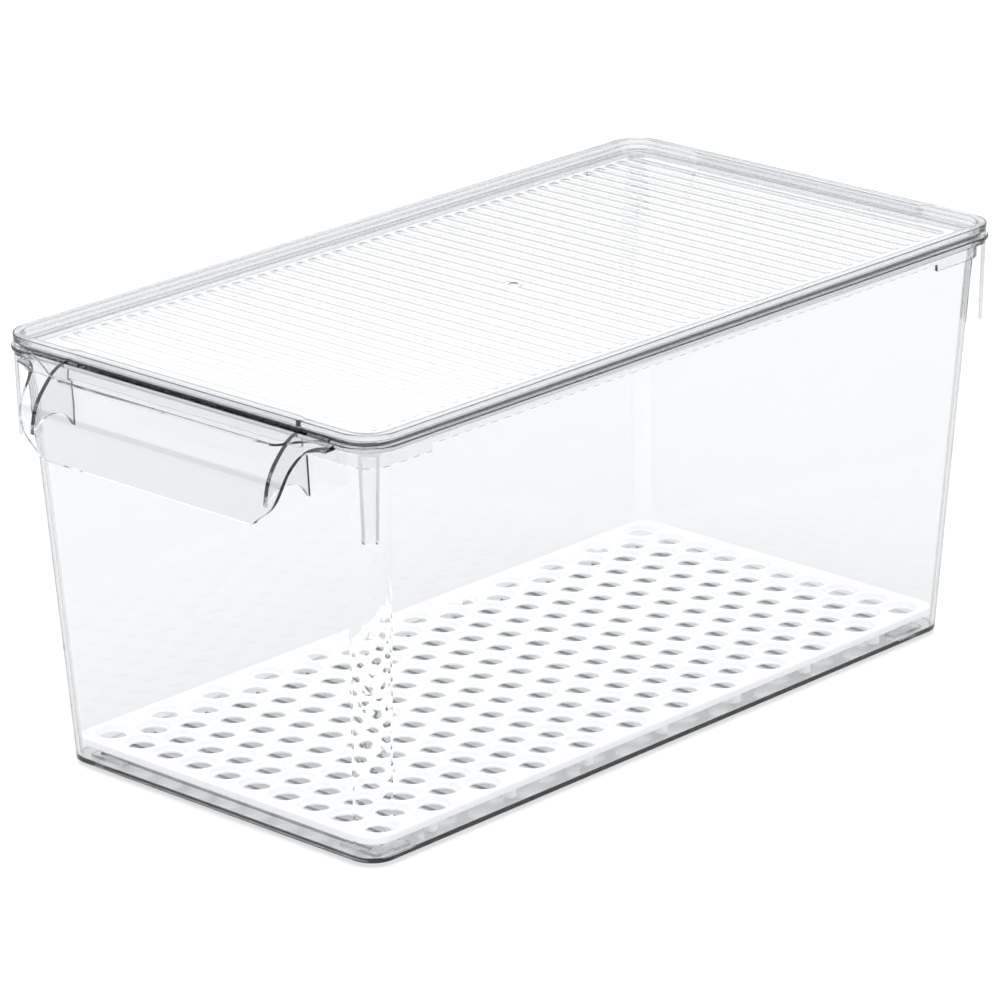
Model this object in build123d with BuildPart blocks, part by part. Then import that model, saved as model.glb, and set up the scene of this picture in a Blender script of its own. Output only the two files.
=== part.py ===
from build123d import *
import math
import os

# Clear fridge bin with a loose lid and a white drain tray. Millimetres.
# +Z is up, the pull handle faces -Y, the four feet stand on Z = 0.
os.makedirs("parts", exist_ok=True)

# --- box part along Y: the handle sticks out in front, and the whole object is centred on the origin
handle_reach = 205.0     # box centre to the front of the handle
rear_reach = 186.8       # box centre to the back of the rim bead
box_y = (handle_reach - rear_reach) / 2

# --- bin: walls and floor (the walls lean outwards all the way up)
wall = 2.0
foot_height = 1.5
floor_top = 3.2
base_width, base_length, base_radius = 170.5, 345.0, 10.6
mouth_width, mouth_length, mouth_radius = 192.0, 364.0, 12.0
inner_bottom_fillet = 0.6
outer_bottom_fillet = 0.6

# --- bin: rim, a shelf that carries an upstand, with a bead outside it
shelf_bottom, shelf_top, rim_top = 170.9, 172.8, 175.9
rim_width, rim_length, rim_radius = 199.6, 371.6, 13.8
upstand = 2.0
bead_bottom, bead_top, bead_out, bead_fillet = 172.2, 173.9, 1.0, 0.7
band_bottom, corner_band_bottom, band_thickness = 167.5, 164.7, 0.8
corner_band_reach = 149.0                   # the band is deeper beyond this distance along Y

# --- bin: floor ridges, L-shaped feet and the four corner stacking stops
ridge_pitch, ridge_count, ridge_length = 7.22, 46, 147.0
ridge_radius, ridge_height = 0.9, 0.8
foot_arm, foot_bar, foot_x, foot_y = 18.0, 5.0, 78.0, 164.0
stop_width, stop_wall, stop_bottom = 6.3, 1.3, 136.2
stop_draft = 1.4                            # degrees; the stops widen upwards to the rim

# --- bin: pull handle, a curved hood held by two gussets; (Y, Z) from the box centre
hood_outer = [(-183.0, 174.0), (-188.3, 173.5), (-192.6, 171.3), (-197.0, 167.2), (-200.9, 162.2),
              (-203.2, 156.5), (-204.3, 149.3), (-205.0, 141.2)]
hood_inner = [(-183.0, 172.0), (-187.7, 171.5), (-191.4, 169.7), (-195.6, 165.8), (-199.1, 161.2),
              (-201.3, 155.9), (-202.3, 149.1), (-203.0, 141.2)]
# the hood's end as seen from the front, (X, Z), flaring out where it meets the rim
hood_end = [(83.0, 171.6), (77.0, 171.0), (73.5, 169.6), (71.9, 166.4), (71.0, 160.5),
            (69.2, 153.8), (64.8, 147.6), (58.6, 142.9), (50.0, 141.2)]
shoulder_thickness = 1.0                    # the raised step across the hood
shoulder_y, shoulder_x, shoulder_rim_x, shoulder_radius = 194.6, 60.0, 80.0, 16.0
gusset_x, gusset_thickness = 63.0, 2.0
gusset_arch = [(-174.0, 141.0), (-180.6, 147.6), (-185.0, 152.8), (-190.0, 154.8), (-195.0, 154.6),
               (-199.5, 152.0), (-207.0, 143.0)]

# --- lid: lies on the upstand, its plug drops inside
lid_width, lid_length, lid_radius = 200.0, 372.0, 14.0
lid_top, lip_width, lip_fillet, lip_under_fillet = 178.8, 4.3, 0.5, 0.9
plug_bottom, panel_bottom, panel_top = 173.0, 173.6, 174.8
plug_gap = 0.6                              # between the plug and the upstand
notch_width, notch_step, notch_top = 123.0, 1.2, 177.3
groove_pitch, groove_count, groove_length = 7.22, 47, 172.6
groove_radius, groove_depth = 32.0, 0.2
gate_radius, gate_dimple, gate_depth = 3.4, 2.2, 0.3

# --- drain tray: stands on its own feet
tray_width, tray_length, tray_radius = 164.8, 339.2, 8.0
tray_top, tray_thickness, tray_fillet = 11.4, 3.1, 0.6
hole_pitch_x, hole_pitch_y = 16.1, 28.5     # the second grid sits in the gaps of the first
long_row, long_rows, short_row, short_rows = 10, 12, 9, 11
hole_radius, hole_fillet = 5.7, 2.1         # the rounding makes a funnel above each hole
tray_foot_radius, tray_foot_x, tray_foot_pitch, tray_foot_count = 2.6, 77.0, 44.5, 7


def level(z):
    """A horizontal plane at height z, centred on the box part."""
    return Plane(origin=(0, box_y, z))


side = Plane(origin=(0, box_y, 0), x_dir=(0, 1, 0), z_dir=(1, 0, 0))
front = Plane(origin=(0, box_y, 0), x_dir=(1, 0, 0), z_dir=(0, -1, 0))
both_ends = 2

# ------------------------------------------------------------------ handle hood
with BuildPart() as hood:
    with BuildSketch(side):
        with BuildLine():
            outer = Spline(*hood_outer)
            inner = Spline(*hood_inner)
            Line(outer @ 0, inner @ 0)
            Line(outer @ 1, inner @ 1)
        make_face()
    extrude(amount=hood_end[0][0], both=True)
    # the raised shoulder, cut to its plan shape
    with BuildPart(mode=Mode.PRIVATE) as shoulder:
        with BuildSketch(side):
            with BuildLine():
                lifted = Spline(*[(y, z + shoulder_thickness) for y, z in hood_outer[:5]])
                under = Spline(*hood_inner[:5])
                Line(lifted @ 0, under @ 0)
                Line(lifted @ 1, under @ 1)
            make_face()
        extrude(amount=shoulder_rim_x, both=True)
        with BuildSketch(level(stop_bottom)):
            with BuildLine():
                Polyline((-shoulder_rim_x, -rim_length / 2 + upstand),
                         (-shoulder_rim_x, -rim_length / 2 - bead_out),
                         (-shoulder_x, -shoulder_y), (shoulder_x, -shoulder_y),
                         (shoulder_rim_x, -rim_length / 2 - bead_out),
                         (shoulder_rim_x, -rim_length / 2 + upstand), close=True)
            outline = make_face()
            fillet(outline.vertices().group_by(Axis.Y)[0], shoulder_radius)
        extrude(amount=lid_top - stop_bottom, mode=Mode.INTERSECT)
    add(shoulder.part)
    with BuildSketch(front):
        with BuildLine():
            right_end = Spline(*hood_end, tangents=[(-1, 0), (-1, 0)])
            left_end = Spline(*[(-x, z) for x, z in hood_end], tangents=[(1, 0), (1, 0)])
            Line(right_end @ 1, left_end @ 1)
            Polyline(right_end @ 0, (hood_end[0][0], lid_top), (-hood_end[0][0], lid_top), left_end @ 0)
        make_face()
    extrude(amount=handle_reach, mode=Mode.INTERSECT)

# ------------------------------------------------------------------ inside of the bin, cut out at the end
inner_slope = (mouth_width - base_width) / 2 / (shelf_top - foot_height)
inner_slope_y = (mouth_length - base_length) / 2 / (shelf_top - foot_height)
rise = floor_top - foot_height
with BuildPart() as hollow:
    with BuildSketch(level(floor_top)):
        RectangleRounded(base_width - 2 * wall + 2 * inner_slope * rise,
                         base_length - 2 * wall + 2 * inner_slope_y * rise, base_radius - wall)
    with BuildSketch(level(shelf_top)):
        RectangleRounded(mouth_width - 2 * wall, mouth_length - 2 * wall, mouth_radius - wall)
    loft()
    fillet(hollow.faces().sort_by(Axis.Z)[0].edges(), inner_bottom_fillet)
    with BuildSketch(level(shelf_top)):
        RectangleRounded(rim_width - 2 * upstand, rim_length - 2 * upstand, rim_radius - upstand)
    extrude(amount=lid_top - shelf_top)

# ------------------------------------------------------------------ corner stacking stops
def diagonal_bars(width):
    """Four bars of this width across the rim's rounded corners."""
    for sign_x in (-1, 1):
        for sign_y in (-1, 1):
            with Locations(Location((sign_x * corner_x, sign_y * corner_y), sign_x * sign_y * 45)):
                Rectangle(2 * rim_radius, width)


# hollow channels on the four diagonals, open below, whose skin ends flush with the rim
corner_x = rim_width / 2 - rim_radius * (1 - math.sqrt(0.5))
corner_y = rim_length / 2 - rim_radius * (1 - math.sqrt(0.5))
stop_inset = (shelf_bottom - stop_bottom) * math.tan(math.radians(stop_draft))
with BuildPart() as stops:
    with BuildSketch(level(stop_bottom)):
        diagonal_bars(stop_width)
        RectangleRounded(rim_width - 2 * stop_inset, rim_length - 2 * stop_inset, rim_radius - stop_inset,
                         mode=Mode.INTERSECT)
    extrude(amount=shelf_bottom - stop_bottom, taper=-stop_draft)
    with BuildSketch(level(stop_bottom)):
        diagonal_bars(stop_width - 2 * stop_wall)
        skin = stop_inset + stop_wall
        RectangleRounded(rim_width - 2 * skin, rim_length - 2 * skin, rim_radius - skin, mode=Mode.INTERSECT)
    extrude(amount=shelf_bottom - stop_wall - stop_bottom, taper=-stop_draft, mode=Mode.SUBTRACT)

# ------------------------------------------------------------------ bin
with BuildPart() as bin_body:
    with BuildSketch(level(foot_height)):
        RectangleRounded(base_width, base_length, base_radius)
    with BuildSketch(level(shelf_top)):
        RectangleRounded(mouth_width, mouth_length, mouth_radius)
    loft()
    fillet(bin_body.faces().sort_by(Axis.Z)[0].edges(), outer_bottom_fillet)

    add(stops.part)

    # band under the rim, deeper round the corners
    with BuildSketch(level(band_bottom)):
        RectangleRounded(mouth_width + 2 * band_thickness, mouth_length + 2 * band_thickness,
                         mouth_radius + band_thickness)
    extrude(amount=shelf_bottom - band_bottom)
    with BuildSketch(level(corner_band_bottom)):
        RectangleRounded(mouth_width + 2 * band_thickness, mouth_length + 2 * band_thickness,
                         mouth_radius + band_thickness)
        Rectangle(2 * mouth_width, 2 * corner_band_reach, mode=Mode.SUBTRACT)
        Rectangle(mouth_width - 2 * (mouth_length / 2 - corner_band_reach), 2 * mouth_length,
                  mode=Mode.SUBTRACT)
    extrude(amount=shelf_bottom - corner_band_bottom)

    # rim: shelf with upstand, and the bead
    with BuildSketch(level(shelf_bottom)):
        RectangleRounded(rim_width, rim_length, rim_radius)
    extrude(amount=rim_top - shelf_bottom)
    with BuildPart(mode=Mode.PRIVATE) as bead:
        with BuildSketch(level(bead_bottom)):
            RectangleRounded(rim_width + 2 * bead_out, rim_length + 2 * bead_out, rim_radius + bead_out)
        extrude(amount=bead_top - bead_bottom)
        fillet(bead.edges().group_by(Axis.Z)[0] + bead.edges().group_by(Axis.Z)[-1], bead_fillet)
    add(bead.part)

    # handle and its gussets
    add(hood.part)
    with BuildPart(mode=Mode.PRIVATE) as gussets:
        for sign in (-1, 1):
            middle = side.offset(sign * gusset_x)
            with BuildSketch(middle):
                with BuildLine():
                    roof = Spline(*[((a + c) / 2, (b + d) / 2)
                                    for (a, b), (c, d) in zip(hood_outer, hood_inner)])
                    Polyline(roof @ 1, (-mouth_length / 2 + 2 * wall, hood_outer[-1][1]),
                             (-mouth_length / 2 + 2 * wall, shelf_top), roof @ 0)
                make_face()
                with BuildLine():
                    arch = Spline(*gusset_arch)
                    Polyline(arch @ 0, (gusset_arch[0][0], stop_bottom), (gusset_arch[-1][0], stop_bottom),
                             arch @ 1)
                make_face(mode=Mode.SUBTRACT)
            extrude(amount=gusset_thickness / 2, both=True)
    add(gussets.part)

    add(hollow.part, mode=Mode.SUBTRACT)

    # ridges on the floor, the part below the floor's surface buried in it
    with BuildSketch(side):
        with Locations((0, floor_top + ridge_height - ridge_radius)):
            with GridLocations(ridge_pitch, 1, ridge_count, 1):
                Circle(ridge_radius)
    extrude(amount=ridge_length / 2, both=True)

    # L-shaped feet
    with BuildSketch(level(0)):
        for sign_x, align_x in ((-1, Align.MIN), (1, Align.MAX)):
            for sign_y, align_y in ((-1, Align.MIN), (1, Align.MAX)):
                with Locations((sign_x * foot_x, sign_y * foot_y)):
                    Rectangle(foot_arm, foot_bar, align=(align_x, align_y))
                    Rectangle(foot_bar, foot_arm, align=(align_x, align_y))
    extrude(amount=foot_height)

# ------------------------------------------------------------------ lid
with BuildPart() as lid:
    # the lip lies on the upstand; under both its ends a shallow recess leaves room for a finger
    with BuildSketch(level(rim_top)):
        RectangleRounded(lid_width, lid_length, lid_radius)
    extrude(amount=lid_top - rim_top)
    fillet(lid.edges().group_by(Axis.Z)[0], lip_under_fillet)
    with BuildSketch(level(rim_top)):
        with GridLocations(1, lid_length, 1, both_ends):
            Rectangle(notch_width, 2 * notch_step)
    extrude(amount=notch_top - rim_top, mode=Mode.SUBTRACT)
    # plug: the panel with a low wall under its edge
    with BuildSketch(level(plug_bottom)):
        RectangleRounded(rim_width - 2 * upstand - 2 * plug_gap, rim_length - 2 * upstand - 2 * plug_gap,
                         rim_radius - upstand - plug_gap)
    extrude(amount=rim_top - plug_bottom)
    with BuildSketch(level(plug_bottom)):
        RectangleRounded(lid_width - 2 * lip_width, lid_length - 2 * lip_width, lid_radius - lip_width)
    extrude(amount=panel_bottom - plug_bottom, mode=Mode.SUBTRACT)
    # recess above the panel, stepped back over the finger recesses
    with BuildPart(mode=Mode.PRIVATE) as recess:
        with BuildSketch(level(panel_top)):
            RectangleRounded(lid_width - 2 * lip_width, lid_length - 2 * lip_width, lid_radius - lip_width)
            with GridLocations(1, lid_length - 2 * lip_width, 1, both_ends):
                Rectangle(notch_width, 2 * notch_step, mode=Mode.SUBTRACT)
        extrude(amount=lid_top - panel_top)
    add(recess.part, mode=Mode.SUBTRACT)
    fillet(lid.edges().group_by(Axis.Z)[-1], lip_fillet)
    # soft grooves across the panel
    with BuildSketch(side):
        with Locations((0, panel_top - groove_depth + groove_radius)):
            with GridLocations(groove_pitch, 1, groove_count, 1):
                Circle(groove_radius)
        with Locations((0, panel_top)):
            Rectangle(groove_count * groove_pitch, 2 * groove_depth, mode=Mode.INTERSECT)
    extrude(amount=groove_length / 2, both=True, mode=Mode.SUBTRACT)
    # moulding gate: a small flush pad with a dimple
    with BuildSketch(level(panel_bottom)):
        Circle(gate_radius)
    extrude(amount=panel_top - panel_bottom)
    with BuildSketch(level(panel_top)):
        Circle(gate_dimple)
    extrude(amount=-gate_depth, mode=Mode.SUBTRACT)

# ------------------------------------------------------------------ drain tray
with BuildPart() as drain_tray:
    with BuildSketch(level(tray_top)):
        RectangleRounded(tray_width, tray_length, tray_radius)
    extrude(amount=-tray_thickness)
    fillet(drain_tray.edges().group_by(Axis.Z)[-1], tray_fillet)
    with BuildSketch(level(tray_top)):
        with GridLocations(hole_pitch_x, hole_pitch_y, long_row, long_rows):
            Circle(hole_radius)
        with GridLocations(hole_pitch_x, hole_pitch_y, short_row, short_rows):
            Circle(hole_radius)
    extrude(amount=-tray_thickness, mode=Mode.SUBTRACT)
    fillet(drain_tray.edges().filter_by(GeomType.CIRCLE).group_by(Axis.Z)[-1]
           .filter_by(lambda edge: abs(edge.radius - hole_radius) < 0.01), hole_fillet)
    with BuildSketch(level(tray_top - tray_thickness)):
        with GridLocations(2 * tray_foot_x, tray_foot_pitch, 2, tray_foot_count):
            Circle(tray_foot_radius)
    extrude(amount=-(tray_top - tray_thickness - floor_top))

bin_body.part.label = "bin"
lid.part.label = "lid"
drain_tray.part.label = "drain_tray"
export_step(bin_body.part, "parts/bin.step")
export_step(lid.part, "parts/lid.step")
export_step(drain_tray.part, "parts/drain_tray.step")
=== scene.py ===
"""Clear fridge bin with lid and drain tray: looks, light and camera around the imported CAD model."""
import math

import bmesh
import bpy
from mathutils import Matrix, Vector


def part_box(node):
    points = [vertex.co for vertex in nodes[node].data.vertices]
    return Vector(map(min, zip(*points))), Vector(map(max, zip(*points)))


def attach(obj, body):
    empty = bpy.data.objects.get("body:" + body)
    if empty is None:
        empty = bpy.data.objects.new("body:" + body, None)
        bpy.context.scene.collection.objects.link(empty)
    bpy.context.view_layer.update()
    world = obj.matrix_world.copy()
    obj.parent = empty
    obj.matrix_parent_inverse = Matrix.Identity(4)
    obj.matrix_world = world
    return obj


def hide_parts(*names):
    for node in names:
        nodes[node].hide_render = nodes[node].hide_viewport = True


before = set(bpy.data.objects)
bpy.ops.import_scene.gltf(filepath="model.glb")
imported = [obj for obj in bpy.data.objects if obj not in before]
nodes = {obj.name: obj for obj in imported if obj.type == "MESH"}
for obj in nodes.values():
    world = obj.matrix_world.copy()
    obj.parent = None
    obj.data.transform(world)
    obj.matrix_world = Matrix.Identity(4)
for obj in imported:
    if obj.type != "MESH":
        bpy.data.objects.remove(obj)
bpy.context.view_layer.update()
lid_low, lid_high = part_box("lid")
tray_low, tray_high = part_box("drain_tray")
# the lid's own centre is the centre of the box part, because the pull sticks out in front
box_y = (lid_low.y + lid_high.y) / 2
MM = 0.001                                          # metres


def to_mm(length):
    """A length from the frame in millimetres, without the model file's rounding."""
    return round(length / MM, 3)


# ---------------------------------------------------------------- camera and light
AZIMUTH, ELEVATION, ROLL = 43.03, 19.44, -0.63      # degrees: right of the pull, a little above
LENS, SENSOR_WIDTH = 201.6, 36                      # millimetres
DISTANCE, NEAR_LIMIT, FAR_LIMIT = 2.27, 0.05, 100   # metres
# metres from the middle of the box part, on the ground
AIM_X, AIM_Y, AIM_Z = -0.0102, 0.0017, 0.0806

# height of the direction, brightness: a dark band low down draws the edges of the clear plastic
SKY_SHADES = [(0.0, 0.62), (0.10, 0.62), (0.13, 0.03), (0.24, 0.03), (0.28, 1.0)]
SKY_STRENGTH = 1.8
FLOOR_REACH, FLOOR_GAP = 30, 0.0002                 # metres
FLOOR_GREY, FLOOR_GLOW = 0.5, 0.4
CLEAR_BOUNCES, DIFFUSE_BOUNCES = 32, 12             # light gets through many clear walls and back

# ---------------------------------------------------------------- plastics
CLEAR_TINT = (0.42, 0.455, 0.49, 1)                 # density * (1 - tint) is absorbed per metre
CLEAR_ROUGHNESS, WHITE_ROUGHNESS = (0.0, 0.025), (0.38, 0.55)
# density, and painted edge shade, the base colour darkened where the plastic is seen edge-on: (0 seen
# straight on to 1 seen edge-on, brightness)
BIN_DENSITY, BIN_PAINTED_EDGE_SHADE = 115, [(0.42, 1.0), (0.62, 0.75), (0.85, 0.1)]
LID_DENSITY, LID_PAINTED_EDGE_SHADE = 135, [(0.72, 1.0), (0.95, 0.3)]

# ---------------------------------------------------------------- shapes, all in millimetres
CORNER_STEPS = 12
SAME_PLACE, MERGE_DISTANCE = 0.001, 0.002           # points nearer than this are one

# lid: outer size, heights, and insets from its outer edge
LID_HALF_X = to_mm(lid_high.x - lid_low.x) / 2
LID_HALF_Y = to_mm(lid_high.y - lid_low.y) / 2
LID_RADIUS = 14.0
LID_TOP, PLUG_UNDER = to_mm(lid_high.z), to_mm(lid_low.z)
LIP_DEPTH, LIP_THICKNESS, PANEL_THICKNESS = 4.0, 2.9, 1.2
LID_PANEL = LID_TOP - LIP_DEPTH
PANEL_UNDER = LID_PANEL - PANEL_THICKNESS
AIR_GAP = 0.06                                      # keeps the lip off the rim
LIP_UNDER = LID_TOP - LIP_THICKNESS + AIR_GAP
LIP_WIDTH, PLUG_INSET = 4.3, 2.8
LIP_UNDER_ROUND, LIP_TOP_ROUND, PLUG_ROUND = 0.9, 0.5, 0.4
# the lip is wider in the middle of both ends
NOTCH_HALF, NOTCH_STEP, NOTCH_BLEND, NOTCH_POINTS = 61.5, 1.2, 5.0, 5

# lid: grooves that fade out over GROOVE_END, and the moulding gate in the middle
GROOVE_PITCH, GROOVE_COUNT, GROOVE_HALF, GROOVE_END, GROOVE_DEPTH = 7.22, 47, 86.3, 2.5, 0.11
ROWS_PER_GROOVE, END_COLUMNS = 14, 8
GATE_RADIUS, GATE_EDGE, GATE_COLUMN, GATE_COLUMNS = 3.4, 0.5, 0.3, 14
DIMPLE_RADIUS, DIMPLE_EDGE, DIMPLE_DEPTH = 2.2, 0.8, 0.3

# drain tray
TRAY_HALF_X = to_mm(tray_high.x - tray_low.x) / 2
TRAY_HALF_Y = to_mm(tray_high.y - tray_low.y) / 2
TRAY_TOP, BIN_FLOOR = to_mm(tray_high.z), to_mm(tray_low.z)
TRAY_THICKNESS, TRAY_RADIUS, TRAY_ROUND, TRAY_UNDER_ROUND = 3.1, 8.0, 0.6, 0.4
TRAY_UNDER = TRAY_TOP - TRAY_THICKNESS
HOLE_PITCH_X, HOLE_PITCH_Y = 16.1, 28.5
HOLE_GRIDS = ((10, 12), (9, 11))                    # the second grid sits in the gaps of the first
HOLE_RADIUS, HOLE_SIDES = 5.8, 40
FUNNEL_RADIUS, FUNNEL_DEPTH, FUNNEL_STEPS = 7.8, 2.4, 8
FOOT_X, FOOT_PITCH, FOOT_COUNT = 77.0, 44.5, 7
FOOT_RADIUS, FOOT_CHAMFER, FOOT_SIDES = 2.6, 0.4, 24


# ---------------------------------------------------------------- node helpers
def set_inputs(node, values):
    """Set a node's sockets by their names."""
    for socket, value in values.items():
        node.inputs[socket].default_value = value


def set_stops(color_ramp, stops):
    """Give a ramp its (position, brightness) stops."""
    for end in (0, -1):
        color_ramp.elements[end].position = stops[end][0]
        color_ramp.elements[end].color = (stops[end][1],) * 3 + (1,)
    for position, value in stops[1:-1]:
        color_ramp.elements.new(position).color = (value,) * 3 + (1,)


def new_material(name):
    material = bpy.data.materials.new(name)
    material.use_nodes = True
    return material, material.node_tree.nodes["Principled BSDF"]


def add_bump(tree, shader, scale, distance):
    """Slight unevenness of a moulded surface: scale in waves per metre, distance in metres."""
    place = tree.nodes.new("ShaderNodeTexCoord")
    noise = tree.nodes.new("ShaderNodeTexNoise")
    bump = tree.nodes.new("ShaderNodeBump")
    set_inputs(noise, {"Scale": scale, "Detail": 2})
    set_inputs(bump, {"Distance": distance})
    tree.links.new(place.outputs["Object"], noise.inputs["Vector"])
    tree.links.new(noise.outputs["Fac"], bump.inputs["Height"])
    tree.links.new(bump.outputs["Normal"], shader.inputs["Normal"])
    return noise


def vary_roughness(tree, noise, shader, roughness):
    """Let the noise move the shader's roughness between its lowest and highest value."""
    mapping = tree.nodes.new("ShaderNodeMapRange")
    set_inputs(mapping, {"To Min": roughness[0], "To Max": roughness[1]})
    tree.links.new(noise.outputs["Fac"], mapping.inputs["Value"])
    tree.links.new(mapping.outputs["Result"], shader.inputs["Roughness"])


# ---------------------------------------------------------------- materials
def clear_plastic(name, density, painted_edge_shade):
    """Polished clear plastic: almost colourless through a wall and dark along it, with painted shade
    that darkens its colour at edges seen edge-on.
    """
    material, shader = new_material(name)
    tree = material.node_tree
    set_inputs(shader, {"Transmission Weight": 1, "IOR": 1.55})
    # painted edge shade: the facing angle darkens the base colour towards edges seen edge-on, in
    # place of the dark surroundings they reflect
    angle = tree.nodes.new("ShaderNodeLayerWeight")
    ramp = tree.nodes.new("ShaderNodeValToRGB")
    set_stops(ramp.color_ramp, painted_edge_shade)
    tree.links.new(angle.outputs["Facing"], ramp.inputs["Fac"])
    tree.links.new(ramp.outputs["Color"], shader.inputs["Base Color"])
    noise = add_bump(tree, shader, scale=30, distance=0.000008)
    vary_roughness(tree, noise, shader, CLEAR_ROUGHNESS)
    depth = tree.nodes.new("ShaderNodeVolumeAbsorption")
    set_inputs(depth, {"Color": CLEAR_TINT, "Density": density})
    tree.links.new(depth.outputs["Volume"], tree.nodes["Material Output"].inputs["Volume"])
    return material


def white_plastic(name):
    """Opaque white plastic with a fine satin surface."""
    material, shader = new_material(name)
    set_inputs(shader, {"Base Color": (0.965, 0.965, 0.97, 1), "Specular IOR Level": 0.35})
    noise = add_bump(material.node_tree, shader, scale=900, distance=0.000006)
    vary_roughness(material.node_tree, noise, shader, WHITE_ROUGHNESS)
    return material


def paint(piece, material):
    """Give a piece its one material."""
    piece.data.materials.clear()
    piece.data.materials.append(material)


# ---------------------------------------------------------------- camera, sky and floor
def add_camera():
    """A long lens that looks at the middle of the object."""
    azimuth, elevation = math.radians(AZIMUTH), math.radians(ELEVATION)
    back = Vector((math.sin(azimuth) * math.cos(elevation),
                   -math.cos(azimuth) * math.cos(elevation),
                   math.sin(elevation)))
    data = bpy.data.cameras.new("camera")
    data.sensor_width = SENSOR_WIDTH
    data.lens = LENS
    data.clip_start, data.clip_end = NEAR_LIMIT, FAR_LIMIT
    camera = bpy.data.objects.new("camera", data)
    bpy.context.scene.collection.objects.link(camera)
    place = Matrix.Translation(Vector((AIM_X, box_y + AIM_Y, AIM_Z)) + DISTANCE * back)
    aim = (-back).to_track_quat("-Z", "Y").to_matrix().to_4x4()
    camera.matrix_world = place @ aim @ Matrix.Rotation(math.radians(ROLL), 4, "Z")
    bpy.context.scene.camera = camera


def add_world():
    """A white studio whose brightness changes with height only, so it is alike from every side."""
    world = bpy.data.worlds.new("studio")
    bpy.context.scene.world = world
    world.use_nodes = True
    tree = world.node_tree
    tree.nodes.clear()
    place = tree.nodes.new("ShaderNodeTexCoord")
    split = tree.nodes.new("ShaderNodeSeparateXYZ")
    ramp = tree.nodes.new("ShaderNodeValToRGB")
    background = tree.nodes.new("ShaderNodeBackground")
    out = tree.nodes.new("ShaderNodeOutputWorld")
    set_stops(ramp.color_ramp, SKY_SHADES)
    set_inputs(background, {"Strength": SKY_STRENGTH})
    tree.links.new(place.outputs["Generated"], split.inputs["Vector"])
    tree.links.new(split.outputs["Z"], ramp.inputs["Fac"])
    tree.links.new(ramp.outputs["Color"], background.inputs["Color"])
    tree.links.new(background.outputs["Background"], out.inputs["Surface"])


def add_floor():
    """A wide pale floor just under the feet, which glows a little like a light table."""
    mesh = bpy.data.meshes.new("floor")
    corners = [(x * FLOOR_REACH, y * FLOOR_REACH, -FLOOR_GAP)
               for x, y in ((-1, -1), (1, -1), (1, 1), (-1, 1))]
    mesh.from_pydata(corners, [], [(0, 1, 2, 3)])
    floor = bpy.data.objects.new("floor", mesh)
    bpy.context.scene.collection.objects.link(floor)
    material, shader = new_material("floor")
    set_inputs(shader, {"Base Color": (FLOOR_GREY,) * 3 + (1,), "Roughness": 0.9,
                        "Emission Color": (1, 1, 1, 1), "Emission Strength": FLOOR_GLOW})
    mesh.materials.append(material)


# ---------------------------------------------------------------- mesh helpers
def smooth_step(value):
    """A value held between 0 and 1, eased at both ends."""
    value = min(max(value, 0.0), 1.0)
    return value * value * (3 - 2 * value)


def arc(centre_u, centre_v, radius, start, end, steps):
    """Points of a rounding, its angles in degrees."""
    turns = [math.radians(start + (end - start) * k / steps) for k in range(steps + 1)]
    return [(centre_u + radius * math.cos(t), centre_v + radius * math.sin(t)) for t in turns]


def circle(centre_x, centre_y, radius, steps):
    turns = [2 * math.pi * k / steps for k in range(steps)]
    return [(centre_x + radius * math.cos(t), centre_y + radius * math.sin(t)) for t in turns]


def rounded_outline(half_x, half_y, radius, extra_x=()):
    """A rounded rectangle, anticlockwise from its front right corner.

    extra_x adds points on its front and back sides."""
    points = []
    for sign_x, sign_y, start in ((1, -1, -90), (1, 1, 0), (-1, 1, 90), (-1, -1, 180)):
        points += arc(sign_x * (half_x - radius), sign_y * (half_y - radius), radius,
                      start, start + 90, CORNER_STEPS)
        if (sign_x, sign_y) == (1, 1):
            points += [(x, half_y) for x in sorted(extra_x, reverse=True)]
        if (sign_x, sign_y) == (-1, -1):
            points += [(x, -half_y) for x in sorted(extra_x)]
    return points


def add_ring(mesh, points, height):
    """A ring of vertices at one height, placed around the box part's centre."""
    return [mesh.verts.new((x * MM, y * MM + box_y, height * MM)) for x, y in points]


def bridge(mesh, lower, upper, closed=True):
    """Quads between two rings of equal length, or between two rows if not closed.

    They face outwards when both rings run anticlockwise and the lower one comes first."""
    count = len(lower)
    for k in range(count if closed else count - 1):
        j = (k + 1) % count
        mesh.faces.new((lower[k], lower[j], upper[j], upper[k]))


def bridge_all(mesh, rings):
    for lower, upper in zip(rings, rings[1:]):
        bridge(mesh, lower, upper)


def ring_edges(mesh, ring):
    return [mesh.edges.get((ring[k - 1], ring[k])) or mesh.edges.new((ring[k - 1], ring[k]))
            for k in range(len(ring))]


def fill_flat(mesh, rings, up):
    """Triangles over a flat region bounded by rings; up tells which way it faces."""
    edges = [edge for ring in rings for edge in ring_edges(mesh, ring)]
    made = bmesh.ops.triangle_fill(mesh, edges=edges, use_beauty=True, use_dissolve=False)
    for face in made["geom"]:
        if isinstance(face, bmesh.types.BMFace):
            face.normal_update()
            if (face.normal.z > 0) != up:
                face.normal_flip()


def finish_mesh(mesh, name, sharp_angle):
    """Merge points that coincide, and shade smooth except at edges over sharp_angle degrees."""
    bmesh.ops.remove_doubles(mesh, verts=mesh.verts, dist=MERGE_DISTANCE * MM)
    bmesh.ops.recalc_face_normals(mesh, faces=mesh.faces)
    limit = math.radians(sharp_angle)
    for face in mesh.faces:
        face.smooth = True
    for edge in mesh.edges:
        edge.smooth = len(edge.link_faces) == 2 and edge.calc_face_angle() < limit
    data = bpy.data.meshes.new(name)
    mesh.to_mesh(data)
    mesh.free()
    piece = bpy.data.objects.new(name, data)
    bpy.context.scene.collection.objects.link(piece)
    weighting = piece.modifiers.new("flat faces stay flat", "WEIGHTED_NORMAL")
    weighting.keep_sharp = True
    weighting.weight = 100
    return piece


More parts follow.
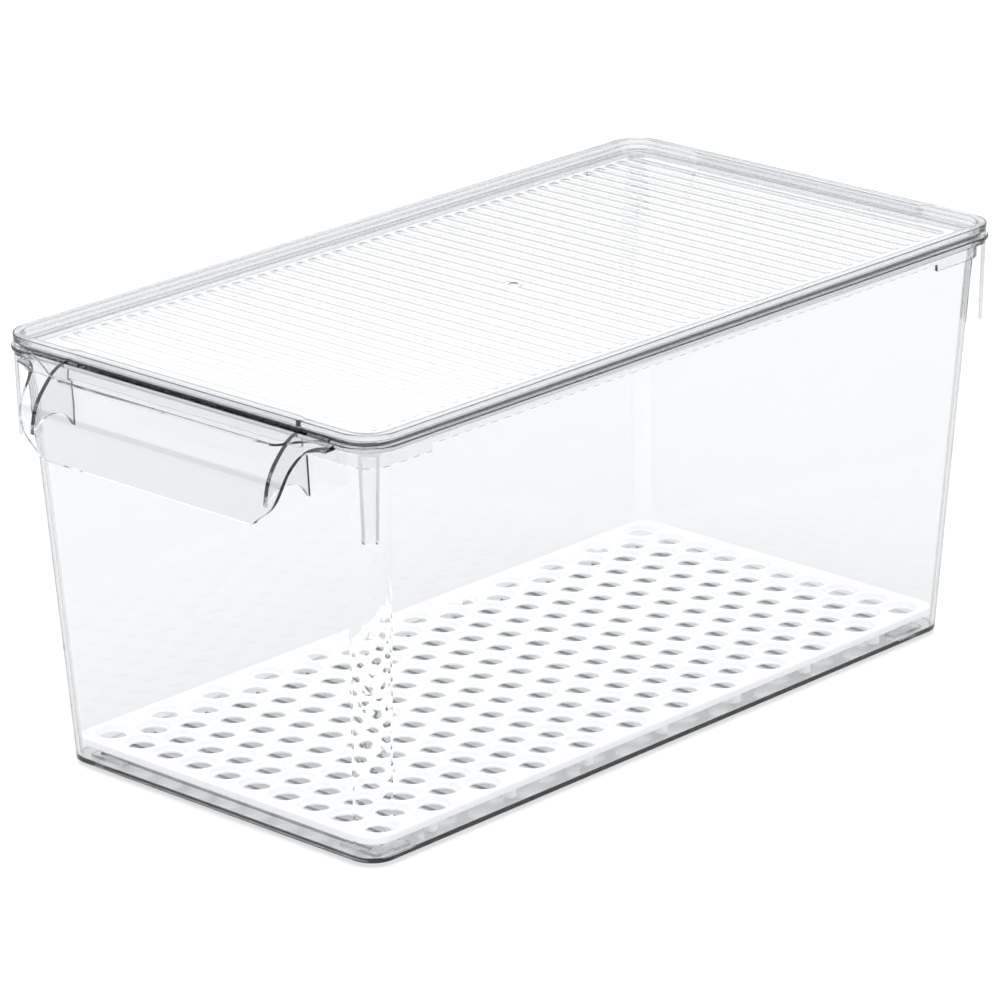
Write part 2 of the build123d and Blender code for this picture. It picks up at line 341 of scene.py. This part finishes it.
# ---------------------------------------------------------------- lid
def panel_height(x, y):
    """Soft grooves across the lid, and the flush moulding gate with its dimple in the middle."""
    away = math.hypot(x, y)
    groove = GROOVE_DEPTH * (0.5 + 0.5 * math.cos(2 * math.pi * y / GROOVE_PITCH))
    groove *= smooth_step((GROOVE_HALF - abs(x)) / GROOVE_END)
    groove *= smooth_step((GROOVE_COUNT / 2 * GROOVE_PITCH - abs(y)) / (GROOVE_PITCH / 4))
    groove *= smooth_step((away - GATE_RADIUS) / GATE_EDGE)
    dimple = DIMPLE_DEPTH * smooth_step((DIMPLE_RADIUS - away) / DIMPLE_EDGE)
    return LID_PANEL - groove - dimple


def lid_profile():
    """From the panel's underside round plug and lip to its top: (inset, height, notch step)."""
    plug = arc(-PLUG_ROUND, PLUG_UNDER + PLUG_ROUND, PLUG_ROUND, -90, 0, steps=3)
    lip_under = arc(-LIP_UNDER_ROUND, LIP_UNDER + LIP_UNDER_ROUND, LIP_UNDER_ROUND, -90, 0, steps=5)
    lip_top = arc(-LIP_TOP_ROUND, LID_TOP - LIP_TOP_ROUND, LIP_TOP_ROUND, 0, 90, steps=4)
    inner_top = arc(LIP_WIDTH - LIP_TOP_ROUND, LID_TOP - LIP_TOP_ROUND, LIP_TOP_ROUND,
                    90, 0, steps=4)
    inner_low = arc(LIP_WIDTH + PLUG_ROUND, LID_PANEL + PLUG_ROUND, PLUG_ROUND, 180, 270, steps=3)
    profile = [(LIP_WIDTH, PANEL_UNDER, 0), (LIP_WIDTH, PLUG_UNDER, 0)]
    profile += [(PLUG_INSET - out, z, 0) for out, z in plug]
    profile.append((PLUG_INSET, LIP_UNDER, 0))
    profile += [(-out, z, 0) for out, z in lip_under + lip_top]
    profile += [(inset, z, NOTCH_STEP) for inset, z in inner_top + inner_low]
    return profile


def lid_outline(inset, step):
    """The lid's outline at this inset, moved in by step in the middle of both ends."""
    blend = [NOTCH_HALF + NOTCH_BLEND * (k / (NOTCH_POINTS - 1) - 0.5) for k in range(NOTCH_POINTS)]
    points = []
    for x, y in rounded_outline(LID_HALF_X - inset, LID_HALF_Y - inset, LID_RADIUS - inset,
                                blend + [-x for x in blend]):
        if abs(y) > LID_HALF_Y - inset - SAME_PLACE:
            inside = smooth_step((NOTCH_HALF + NOTCH_BLEND / 2 - abs(x)) / NOTCH_BLEND)
            y -= math.copysign(step * inside, y)
        points.append((x, y))
    return points


def add_grooved_field(mesh):
    """The grooves as a grid, fine across them and at their ends and the gate; returns its edge."""
    half_rows = ROWS_PER_GROOVE * GROOVE_COUNT // 2
    rows = [k * GROOVE_PITCH / ROWS_PER_GROOVE for k in range(-half_rows, half_rows + 1)]
    right = [GROOVE_HALF - GROOVE_END * k / END_COLUMNS for k in range(END_COLUMNS + 1)]
    middle = [GATE_COLUMN * k for k in range(-GATE_COLUMNS, GATE_COLUMNS + 1)]
    columns = [-x for x in right] + middle + right[::-1]
    grid = [[mesh.verts.new((x * MM, y * MM + box_y, panel_height(x, y) * MM)) for x in columns]
            for y in rows]
    for low_row, high_row in zip(grid, grid[1:]):
        bridge(mesh, low_row, high_row, closed=False)
    right_side = [row[-1] for row in grid[:-1]]
    left_side = [row[0] for row in grid[:0:-1]]
    return grid[0][:-1] + right_side + grid[-1][:0:-1] + left_side


def make_lid():
    mesh = bmesh.new()
    rings = [add_ring(mesh, lid_outline(inset, step), height)
             for inset, height, step in lid_profile()]
    bridge_all(mesh, rings)
    fill_flat(mesh, [rings[-1], add_grooved_field(mesh)], up=True)
    fill_flat(mesh, [rings[0]], up=False)
    return finish_mesh(mesh, "clear_lid", sharp_angle=32)


# ---------------------------------------------------------------- drain tray
def hole_centres():
    return [((i - (count_x - 1) / 2) * HOLE_PITCH_X, (j - (count_y - 1) / 2) * HOLE_PITCH_Y)
            for count_x, count_y in HOLE_GRIDS
            for i in range(count_x)
            for j in range(count_y)]


def foot_centres():
    return [(sign * FOOT_X, (k - (FOOT_COUNT - 1) / 2) * FOOT_PITCH)
            for sign in (-1, 1)
            for k in range(FOOT_COUNT)]


def add_hole(mesh, centre):
    """A soft funnel that ends in a thin upright edge; returns its top and bottom rings."""
    profile = [(FUNNEL_RADIUS - (FUNNEL_RADIUS - HOLE_RADIUS) * k / FUNNEL_STEPS,
                TRAY_TOP - FUNNEL_DEPTH * (0.5 - 0.5 * math.cos(math.pi * k / FUNNEL_STEPS)))
               for k in range(FUNNEL_STEPS + 1)]
    profile.append((HOLE_RADIUS, TRAY_UNDER))
    rings = [add_ring(mesh, circle(*centre, radius, HOLE_SIDES), z) for radius, z in profile]
    bridge_all(mesh, rings)
    return rings[0], rings[-1]


def add_foot(mesh, centre):
    """A round foot under the tray; returns its top ring."""
    profile = [(FOOT_RADIUS - FOOT_CHAMFER, BIN_FLOOR), (FOOT_RADIUS, BIN_FLOOR + FOOT_CHAMFER),
               (FOOT_RADIUS, TRAY_UNDER)]
    rings = [add_ring(mesh, circle(*centre, radius, FOOT_SIDES), z) for radius, z in profile]
    bridge_all(mesh, rings)
    mesh.faces.new(rings[0][::-1])
    return rings[-1]


def make_tray():
    mesh = bmesh.new()
    low_edge = arc(-TRAY_UNDER_ROUND, TRAY_UNDER + TRAY_UNDER_ROUND, TRAY_UNDER_ROUND,
                   -90, 0, steps=2)
    top_edge = arc(-TRAY_ROUND, TRAY_TOP - TRAY_ROUND, TRAY_ROUND, 0, 90, steps=4)
    rings = []
    for out, height in low_edge + top_edge:
        outline = rounded_outline(TRAY_HALF_X + out, TRAY_HALF_Y + out, TRAY_RADIUS + out)
        rings.append(add_ring(mesh, outline, height))
    bridge_all(mesh, rings)
    holes = [add_hole(mesh, centre) for centre in hole_centres()]
    feet = [add_foot(mesh, centre) for centre in foot_centres()]
    fill_flat(mesh, [rings[-1]] + [top for top, bottom in holes], up=True)
    fill_flat(mesh, [rings[0]] + [bottom for top, bottom in holes] + feet, up=False)
    return finish_mesh(mesh, "white_tray", sharp_angle=40)


# ---------------------------------------------------------------- putting it together
add_camera()
add_world()
add_floor()
paint(nodes["bin"], clear_plastic("clear_bin", BIN_DENSITY, BIN_PAINTED_EDGE_SHADE))

lid = make_lid()
paint(lid, clear_plastic("clear_lid", LID_DENSITY, LID_PAINTED_EDGE_SHADE))
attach(lid, "lid_body")
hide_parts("lid")

tray = make_tray()
paint(tray, white_plastic("white_tray"))
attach(tray, "tray_body")
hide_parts("drain_tray")

scene = bpy.context.scene
scene.view_settings.view_transform = "Standard"
scene.cycles.blur_glossy = 0
scene.cycles.max_bounces = CLEAR_BOUNCES
scene.cycles.glossy_bounces = CLEAR_BOUNCES
scene.cycles.transmission_bounces = CLEAR_BOUNCES
scene.cycles.diffuse_bounces = DIFFUSE_BOUNCES
